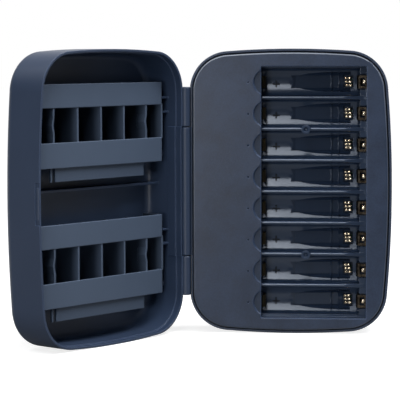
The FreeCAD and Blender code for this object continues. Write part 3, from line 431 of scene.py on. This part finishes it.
def sprung_strip(path, height, half_width, half_thickness, sides=8):
    """A strip with rounded edges carried along an (x, y) path at one height. Its section is an
    ellipse, half_width along z and half_thickness along the path's normal, with flat ends."""
    tangent = np.gradient(path, axis=0)
    tangent /= np.linalg.norm(tangent, axis=1)[:, None]
    normal = np.stack([-tangent[:, 1], tangent[:, 0]], axis=1)
    turn = np.arange(sides) * 2 * math.pi / sides
    across = np.broadcast_to(height + half_width * np.cos(turn), (len(path), sides))
    lifted = path[:, None, :] + (half_thickness * np.sin(turn))[None, :, None] * normal[:, None, :]
    points = np.concatenate([lifted, across[:, :, None]], axis=2).reshape(-1, 3)
    ring = np.arange(len(path) - 1)[:, None] * sides
    side = np.arange(sides)[None, :]
    after = (side + 1) % sides
    faces = np.stack([ring + side, ring + sides + side, ring + sides + after, ring + after],
                     axis=-1).reshape(-1, 4).tolist()
    last = len(points) - sides
    faces.append(list(range(sides)))
    faces.append(list(range(len(points) - 1, last - 1, -1)))
    return points, faces


def several_strips(strips):
    """One set of points and faces from several strips."""
    points, faces, start = [], [], 0
    for strip_points, strip_faces in strips:
        faces += [[start + corner for corner in face] for face in strip_faces]
        points.append(strip_points)
        start += len(strip_points)
    return np.concatenate(points), faces


# The small cells' spring is a comb of three fingers, each waved and folded over at the cell's end;
# the middle one runs on through the tray to the board.
SMALL_FINGER = np.array([(75.9, 47.3), (75.2, 46.6), (74.2, 46.9), (73.2, 46.55), (72.1, 46.6),
                         (71.6, 47.5), (71.9, 48.6), (74.4, 49.4)]) * MM
SMALL_LEG = np.array([(75.0, 49.9), (75.0, 52.1)]) * MM
FINGER_PITCH = 1.95 * MM
FINGER_HALF = 0.80 * MM
FINGER_THICKNESS = 0.20 * MM
# Each finger's free end is bent away by so much in x and y.
FINGER_SPRING = ((0.35 * MM, -0.05 * MM), (0.0, 0.0), (-0.50 * MM, 0.20 * MM))
# The large cells' spring keeps its windowed plate, and a tongue curls out of the window.
LARGE_TONGUE = np.array([(83.1, 38.0), (82.3, 37.85), (81.4, 38.1), (80.9, 39.0),
                         (81.2, 40.2)]) * MM
TONGUE_HALF = 1.2 * MM
for number in BAYS:
    middle = bay_height(number)
    strips = []
    for place, spring in zip((-1, 0, 1), FINGER_SPRING):
        path = rounded_path(SMALL_FINGER if place else np.concatenate([SMALL_FINGER, SMALL_LEG]))
        path += np.outer(np.linspace(1.0, 0.0, len(path)), spring)
        strips.append(sprung_strip(path, middle + place * FINGER_PITCH, FINGER_HALF,
                                   FINGER_THICKNESS))
    comb = several_strips(strips)
    piece = new_piece("small_spring_comb_%d" % number, *comb, spring_nickel)
    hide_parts("small_negative_contact_%d" % number)
    tongue = sprung_strip(rounded_path(LARGE_TONGUE), middle, TONGUE_HALF, FINGER_THICKNESS)
    piece = new_piece("large_spring_tongue_%d" % number, *tongue, spring_nickel)

# ------------------------------------------------------------ charger face
# A raised plate of the same ABS, with a coarser spark grain, screwed to the base shell. The bays'
# opening, the thumb scoops and the pin-holes for the lamps are moulded in it.
FACE_NAVY = (0.021, 0.036, 0.073)
FACE_ROUGHNESS = 0.34
# The face's sharp edges get a painted highlight.
face_plastic = moulded_plastic("navy_spark_face", FACE_NAVY, FACE_ROUGHNESS, 0.06 * MM,
                               pitch=0.8 * MM, clouds=0.45, specular=0.42, edge=0.9 * MM,
                               edge_highlight=1.0)


def make_painted_depth_shade():
    """Group for painted shade that changes with depth, and a roughness that changes with it. As
    Vector's reach along Way, a unit direction, goes from Start to End, Color and Roughness go from
    their first value to their second."""
    group, given, result = new_group(
        "painted_depth_shade",
        {"Vector": "Vector", "Way": "Vector", "Start": "Float", "End": "Float",
         "First Color": "Color", "Second Color": "Color", "First Roughness": "Float",
         "Second Roughness": "Float"},
        {"Color": "Color", "Roughness": "Float"})
    reach = dot_product(group, given["Vector"], given["Way"])
    share = remap(group, reach, given["Start"], given["End"], 0.0, 1.0)
    group.links.new(mix_colours(group, share, given["First Color"], given["Second Color"]),
                    result["Color"])
    group.links.new(remap(group, reach, given["Start"], given["End"], given["First Roughness"],
                          given["Second Roughness"]), result["Roughness"])
    return group


painted_depth_shade = make_painted_depth_shade()


def paint_shade_with_depth(material, way, places, colours, roughnesses):
    """Feeds the painted depth shade into a moulded plastic's grain: from the first to the second of
    the colours and roughnesses, between two places along a way."""
    tree = material.node_tree
    tone = place_group(tree, painted_depth_shade, {
        "Vector": tree.nodes["Texture Coordinate"].outputs["Object"], "Way": way,
        "Start": places[0], "End": places[1],
        "First Color": (*colours[0], 1.0), "Second Color": (*colours[1], 1.0),
        "First Roughness": roughnesses[0], "Second Roughness": roughnesses[1]})
    grain = tree.nodes["grain"]
    tree.links.new(tone.outputs["Color"], grain.inputs["Base Color"])
    tree.links.new(tone.outputs["Roughness"], grain.inputs["Roughness"])


# Painted shade darkens the thumb scoops, the pin-holes and the edge's step, and the mould left them
# more matt.
OUT_OF_FACE = (0.0, -1.0, 0.0)
SCOOP_PAINTED_SHADE = (0.018, 0.031, 0.060)
SCOOP_ROUGHNESS = 0.62
SCOOP_DEPTHS = (-30.75 * MM, -30.12 * MM)
paint_shade_with_depth(face_plastic, OUT_OF_FACE, SCOOP_DEPTHS, (SCOOP_PAINTED_SHADE, FACE_NAVY),
                  (SCOOP_ROUGHNESS, FACE_ROUGHNESS))

# A paler highlight is painted on the face's rounded edge, and painted shade darkens the groove
# round it. The scoops and the bays' opening lie inside the reach and stay as they are.
FACE_MIDDLE = (48 * MM, 77 * MM)    # x and z
FACE_REACH = (39 * MM, 70 * MM)
RIM_PAINTED_HIGHLIGHT = (0.24, 0.27, 0.32)
RIM_DEPTHS = (30.10 * MM, 30.13 * MM, 30.32 * MM, 30.50 * MM)
RIM_LEAST = 0.12
RIM_FULL = 140 * MM             # z less x, where the painted highlight is strongest
GROOVE_PAINTED_SHADE = (0.003, 0.005, 0.010)
GROOVE_DEPTHS = (30.50 * MM, 30.80 * MM, 50 * MM, 51 * MM)


def paint_rim_light(material, colour, depths, least):
    """Paints light on the face's rim: mixes a colour in between the first and last of four depths
    along y, outside FACE_MIDDLE plus or minus FACE_REACH in x and z. The mix falls to least away
    from the hinge's top end."""
    tree = material.node_tree
    shader = tree.nodes["Principled BSDF"]
    place = tree.nodes.new("ShaderNodeSeparateXYZ")
    tree.links.new(tree.nodes["Texture Coordinate"].outputs["Object"], place.inputs[0])
    rising = remap(tree, place.outputs["Y"], *depths[:2], 0.0, 1.0)
    falling = remap(tree, place.outputs["Y"], *depths[2:], 1.0, 0.0)
    outside = []
    for axis, centre, far in zip("XZ", FACE_MIDDLE, FACE_REACH):
        offset = maths(tree, "SUBTRACT", place.outputs[axis], centre)
        outside.append(maths(tree, "GREATER_THAN", maths(tree, "ABSOLUTE", offset), far))
    toward_top = remap(tree, maths(tree, "SUBTRACT", place.outputs["Z"], place.outputs["X"]),
                       0.0, RIM_FULL, least, 1.0)
    amount = maths(tree, "MULTIPLY", maths(tree, "MULTIPLY", rising, falling),
                   maths(tree, "MULTIPLY", maths(tree, "MAXIMUM", *outside), toward_top))
    plain = shader.inputs["Base Color"].links[0].from_socket
    tree.links.new(mix_colours(tree, amount, plain, (*colour, 1.0)), shader.inputs["Base Color"])


# Painted highlight on the face's rounded edge.
paint_rim_light(face_plastic, RIM_PAINTED_HIGHLIGHT, RIM_DEPTHS, RIM_LEAST)
# Painted shade in the groove round the face.
paint_rim_light(face_plastic, GROOVE_PAINTED_SHADE, GROOVE_DEPTHS, 1.0)
dress(face_plastic, "charger_panel")

# ------------------------------------------------------------ light pipes
# Short rods of clear acrylic bring the lamps' light to the face's pin-holes. They are moulded, and
# look dark while the lamps are off.
PIPE_DARK = (0.010, 0.012, 0.016)
PIPE_CLEARNESS = 0.3
PIPE_ROUGHNESS = (0.08, 0.20)
RIPPLE_PITCH = 0.6 * MM
RIPPLE_RANGE = (0.3, 0.7)       # values of the noise, from the least roughness to the most
pipe_plastic, pipe_tree, pipe_shader, pipe_coordinate = new_material("clear_light_pipe")
pipe_shader.inputs["Base Color"].default_value = (*PIPE_DARK, 1.0)
pipe_shader.inputs["Transmission Weight"].default_value = PIPE_CLEARNESS
ripple = noise(pipe_tree, pipe_coordinate.outputs["Object"], 1.0 / RIPPLE_PITCH)
pipe_tree.links.new(remap(pipe_tree, ripple, *RIPPLE_RANGE, *PIPE_ROUGHNESS),
                    pipe_shader.inputs["Roughness"])
dress(pipe_plastic, "light_pipes")

# ------------------------------------------------------------ screws
# Steel screws with rolled threads, zinc plated in a drum. They hold the face, the board and the
# tray.
ZINC_GREY = (0.42, 0.42, 0.43)
screw_steel = drawn_metal("zinc_screw", ZINC_GREY, 0.38, 1)
dress(screw_steel, "case_screws", "board_screws", "tray_screws")

# ------------------------------------------------------------ feet
# Four discs of soft black rubber, glued into recesses in the back. They keep the case from sliding
# when it lies on a table.
RUBBER_BLACK = (0.018, 0.018, 0.019)
foot_rubber = moulded_plastic("black_rubber_foot", RUBBER_BLACK, 0.82, 0.03 * MM)
dress(foot_rubber, "rubber_feet")

# ------------------------------------------------------------ hinge pin and rack pins
# Ground steel rods, blackened and pressed into the cover. The base's knuckle and the racks turn
# on them.
PIN_BLACK = (0.10, 0.10, 0.11)
pin_steel = drawn_metal("blackened_pin_steel", PIN_BLACK, 0.42, 2, 0.2 * MM)
dress(pin_steel, "hinge_pin", "upper_rack_pins", "lower_rack_pins")

# ------------------------------------------------------------ hinge washers
# Two thin black nylon washers on the pin fill the gaps between the knuckles and keep them from
# rubbing. They are stamped from sheet.
PIN_PLACE = (-13.7165 * MM, 32.586 * MM)
WASHER_HEIGHTS = (111.95 * MM, 42.05 * MM)
WASHER_HALF = 0.09 * MM
WASHER_INNER = 1.05 * MM
WASHER_OUTER = 2.5 * MM
WASHER_STEPS = 32
NYLON_BLACK = (0.012, 0.014, 0.018)
washer_nylon = moulded_plastic("black_nylon_washer", NYLON_BLACK, 0.50, 0.01 * MM)


def washer(name, middle):
    """A flat ring round the pin. Its rectangular section, inner to outer radius by half the
    thickness either way, is turned once round the pin's axis."""
    turn = np.arange(WASHER_STEPS) * 2 * math.pi / WASHER_STEPS
    radius = np.array([WASHER_INNER, WASHER_OUTER, WASHER_OUTER, WASHER_INNER])
    rise = WASHER_HALF * np.array([-1, -1, 1, 1])
    x = PIN_PLACE[0] + radius[None, :] * np.cos(turn)[:, None]
    y = PIN_PLACE[1] + radius[None, :] * np.sin(turn)[:, None]
    z = np.broadcast_to(middle + rise[None, :], x.shape)
    points = np.stack([x, y, z], axis=-1).reshape(-1, 3)
    corners = len(radius)
    ring = np.arange(WASHER_STEPS)[:, None] * corners
    after_ring = (ring + corners) % len(points)
    side = np.arange(corners)[None, :]
    after = (side + 1) % corners
    faces = np.stack([ring + side, after_ring + side, after_ring + after, ring + after],
                     axis=-1).reshape(-1, 4).tolist()
    return new_piece(name, points, faces, washer_nylon, smooth=False)


for name, middle in zip(("upper_hinge_washer", "lower_hinge_washer"), WASHER_HEIGHTS):
    washer(name, middle)

# ------------------------------------------------------------ storage cover
# The deep half is a tub of the base shell's ABS, from a mould with the same spark finish. Its two
# outer knuckles are moulded with it and grip the hinge pin.
dress(shell_plastic, "storage_cover")

# ------------------------------------------------------------ racks
# Two mouldings that take spare cells on end. Their mould was left smoother than the shells', so
# the bands look satin. Their navy is painted paler than the shells', a lit copy of the same
# plastic, and painted shade darkens the pockets behind them.
# Painted light: the racks' navy is a paler, lit copy of the shells' navy.
RACK_PAINTED_LIT_NAVY = (0.066, 0.092, 0.141)
RACK_ROUGHNESS = 0.42
# Painted shade for the pockets behind the bands.
POCKET_PAINTED_SHADE = (0.016, 0.024, 0.040)
OPENING = (0.814, -0.581, 0.0)  # the way the open cover faces
BAND_FRONT = -38.3 * MM         # of the bands' front, along that way
POCKET_FULL = -44.0 * MM        # where the pockets' painted shade is full
# The racks' sharp edges get a painted highlight.
rack_plastic = moulded_plastic("navy_satin_rack", RACK_PAINTED_LIT_NAVY, RACK_ROUGHNESS, 0.006 * MM,
                               pitch=0.6 * MM, clouds=0.05, edge_highlight=0.5)
paint_shade_with_depth(rack_plastic, OPENING, (POCKET_FULL, BAND_FRONT), (POCKET_PAINTED_SHADE, RACK_PAINTED_LIT_NAVY),
                  (RACK_ROUGHNESS, RACK_ROUGHNESS))
dress(rack_plastic, "upper_rack", "lower_rack")

# ------------------------------------------------------------ floor
# A pale studio floor that runs back into a white surround. It is cut off in front of the object
# and throws only a little light up at it.
FLOOR_REACH = 6.0
FLOOR_FRONT = -0.27             # the floor's front edge
FLOOR_GREY = 0.50               # as the camera sees it
FLOOR_BOUNCE = 0.24             # what it throws back at the object
FLOOR_ROUGHNESS = 0.9
FLOOR_MIRROR = (-0.05, 0.10)    # y where its mirror image goes from dark to white
FLOOR_GLOW = (0.80, 1.0)        # near the object and far from it
GLOW_REACH = (0.25, 0.9)


def grid_piece(name, xs, ys, height):
    """A flat sheet at one height, from a grid of x and y values."""
    x, y = np.meshgrid(xs, ys, indexing="ij")
    points = np.stack([x, y, np.full_like(x, height)], axis=-1).reshape(-1, 3)
    rows, columns = x.shape
    corner = (np.arange(rows - 1)[:, None] * columns + np.arange(columns - 1)[None, :]).ravel()
    faces = np.stack([corner, corner + columns, corner + columns + 1, corner + 1], axis=1)
    mesh = bpy.data.meshes.new(name)
    mesh.from_pydata(points.tolist(), [], faces.tolist())
    piece = bpy.data.objects.new(name, mesh)
    bpy.context.scene.collection.objects.link(piece)
    return piece


def white_studio(tree, place, front, back, dim):
    """1 for camera rays. Glossy and transmission rays see the same white behind the object, and
    dim of it in front, where the studio is dark: place's y runs from front to back between."""
    rays = tree.nodes.new("ShaderNodeLightPath")
    axes = tree.nodes.new("ShaderNodeSeparateXYZ")
    tree.links.new(place, axes.inputs[0])
    behind = remap(tree, axes.outputs["Y"], front, back, dim, 1.0)
    mirrored = maths(tree, "MAXIMUM", rays.outputs["Is Glossy Ray"],
                     rays.outputs["Is Transmission Ray"])
    return maths(tree, "MAXIMUM", rays.outputs["Is Camera Ray"],
                 remap(tree, mirrored, 0.0, 1.0, 0.0, behind))


floor = grid_piece("studio_floor", np.linspace(-FLOOR_REACH, FLOOR_REACH, 3),
                   np.linspace(FLOOR_FRONT, FLOOR_REACH, 3), 0.0)
floor_material, floor_tree, floor_shader, floor_coordinate = new_material("pale_floor")
floor_rays = floor_tree.nodes.new("ShaderNodeLightPath")
floor_tree.links.new(remap(floor_tree, floor_rays.outputs["Is Camera Ray"], 0.0, 1.0,
                           FLOOR_BOUNCE, FLOOR_GREY), floor_shader.inputs["Base Color"])
floor_shader.inputs["Roughness"].default_value = FLOOR_ROUGHNESS
floor_shader.inputs["Specular IOR Level"].default_value = 0.0
seen = white_studio(floor_tree, floor_coordinate.outputs["Object"], *FLOOR_MIRROR, 0.0)
spread = floor_tree.nodes.new("ShaderNodeVectorMath")
spread.operation = "LENGTH"
floor_tree.links.new(floor_coordinate.outputs["Object"], spread.inputs[0])
glow = remap(floor_tree, spread.outputs["Value"], *GLOW_REACH, *FLOOR_GLOW)
floor_shader.inputs["Emission Color"].default_value = (1.0, 1.0, 1.0, 1.0)
floor_tree.links.new(remap(floor_tree, seen, 0.0, 1.0, 0.0, glow),
                     floor_shader.inputs["Emission Strength"])
floor.data.materials.append(floor_material)

# ------------------------------------------------------------ lamps and surround
# One large soft lamp hangs overhead on the right, with weaker ones round the sides and in front.
# The surround looks white, and reflections find it white behind the object and dark in front.
LAMP_TARGET = (0.0, 0.0, 0.075)
LAMPS = {                       # place, size in metres and power in watts
    "left_overhead_softbox": ((-0.60, -0.25, 0.85), (0.3, 0.3), 2.9),
    "right_overhead_softbox": ((0.54, -0.15, 1.14), (0.6, 0.6), 14.2),
    "front_strip_softbox": ((-0.07, -1.0, 0.80), (0.16, 0.95), 4.0),
    "top_strip_softbox": ((0.02, -0.35, 1.15), (0.14, 0.4), 2.2),
    "left_front_softbox": ((-0.32, -1.05, 0.085), (0.20, 0.14), 2.2),
    "right_back_softbox": ((0.95, 0.25, 0.77), (0.4, 0.4), 2.5),
}


def softbox(name, place, target, size, power):
    """A rectangular area lamp, size wide and high, that looks at a point."""
    lamp = bpy.data.lights.new(name, "AREA")
    lamp.shape = "RECTANGLE"
    lamp.size, lamp.size_y = size
    lamp.energy = power
    holder = bpy.data.objects.new(name, lamp)
    bpy.context.scene.collection.objects.link(holder)
    holder.location = place
    direction = np.array(target, float) - np.array(place, float)
    yaw = math.atan2(direction[1], direction[0]) - math.pi / 2
    pitch = math.atan2(direction[2], math.hypot(direction[0], direction[1])) + math.pi / 2
    holder.rotation_euler = (pitch, 0.0, yaw)


for name, (place, size, power) in LAMPS.items():
    softbox(name, place, LAMP_TARGET, size, power)

FRONT_DIM = 0.10                # how much of the white the dark front of the studio keeps
SURROUND_MIRROR = (0.20, 0.90)  # the view's y where it goes from dark to white
AMBIENT = 0.06
world = bpy.data.worlds.new("white_surround")
bpy.context.scene.world = world
world.use_nodes = True
sky = world.node_tree
room = sky.nodes.new("ShaderNodeTexCoord")
seen = white_studio(sky, room.outputs["Object"], *SURROUND_MIRROR, FRONT_DIM)
sky.links.new(maths(sky, "MAXIMUM", seen, AMBIENT), sky.nodes["Background"].inputs["Strength"])
sky.nodes["Background"].inputs["Color"].default_value = (1.0, 1.0, 1.0, 1.0)

# ------------------------------------------------------------ camera
# A long lens a metre in front of the case. It stands as high as the case's top, and is turned
# slightly to the left and down.
CAMERA_PLACE = (0.08128, -0.96329, 0.15359)
CAMERA_YAW = 5.013              # degrees to the left of +Y
CAMERA_PITCH = 4.651            # degrees down
CAMERA_ROLL = -0.135            # degrees
CAMERA_SENSOR = 36.0            # millimetres wide
CAMERA_LENS = 166.45            # millimetres
camera = bpy.data.cameras.new("studio_camera")
camera.lens = CAMERA_LENS
camera.sensor_width = CAMERA_SENSOR
camera.clip_start = 0.05
camera_holder = bpy.data.objects.new("studio_camera", camera)
bpy.context.scene.collection.objects.link(camera_holder)
camera_holder.location = CAMERA_PLACE
camera_holder.rotation_mode = "XYZ"
camera_holder.rotation_euler = (math.radians(90.0 - CAMERA_PITCH), 0.0, math.radians(CAMERA_YAW))
camera_holder.rotation_euler.rotate_axis("Z", math.radians(CAMERA_ROLL))
bpy.context.scene.camera = camera_holder
bpy.context.scene.view_settings.view_transform = "Standard"
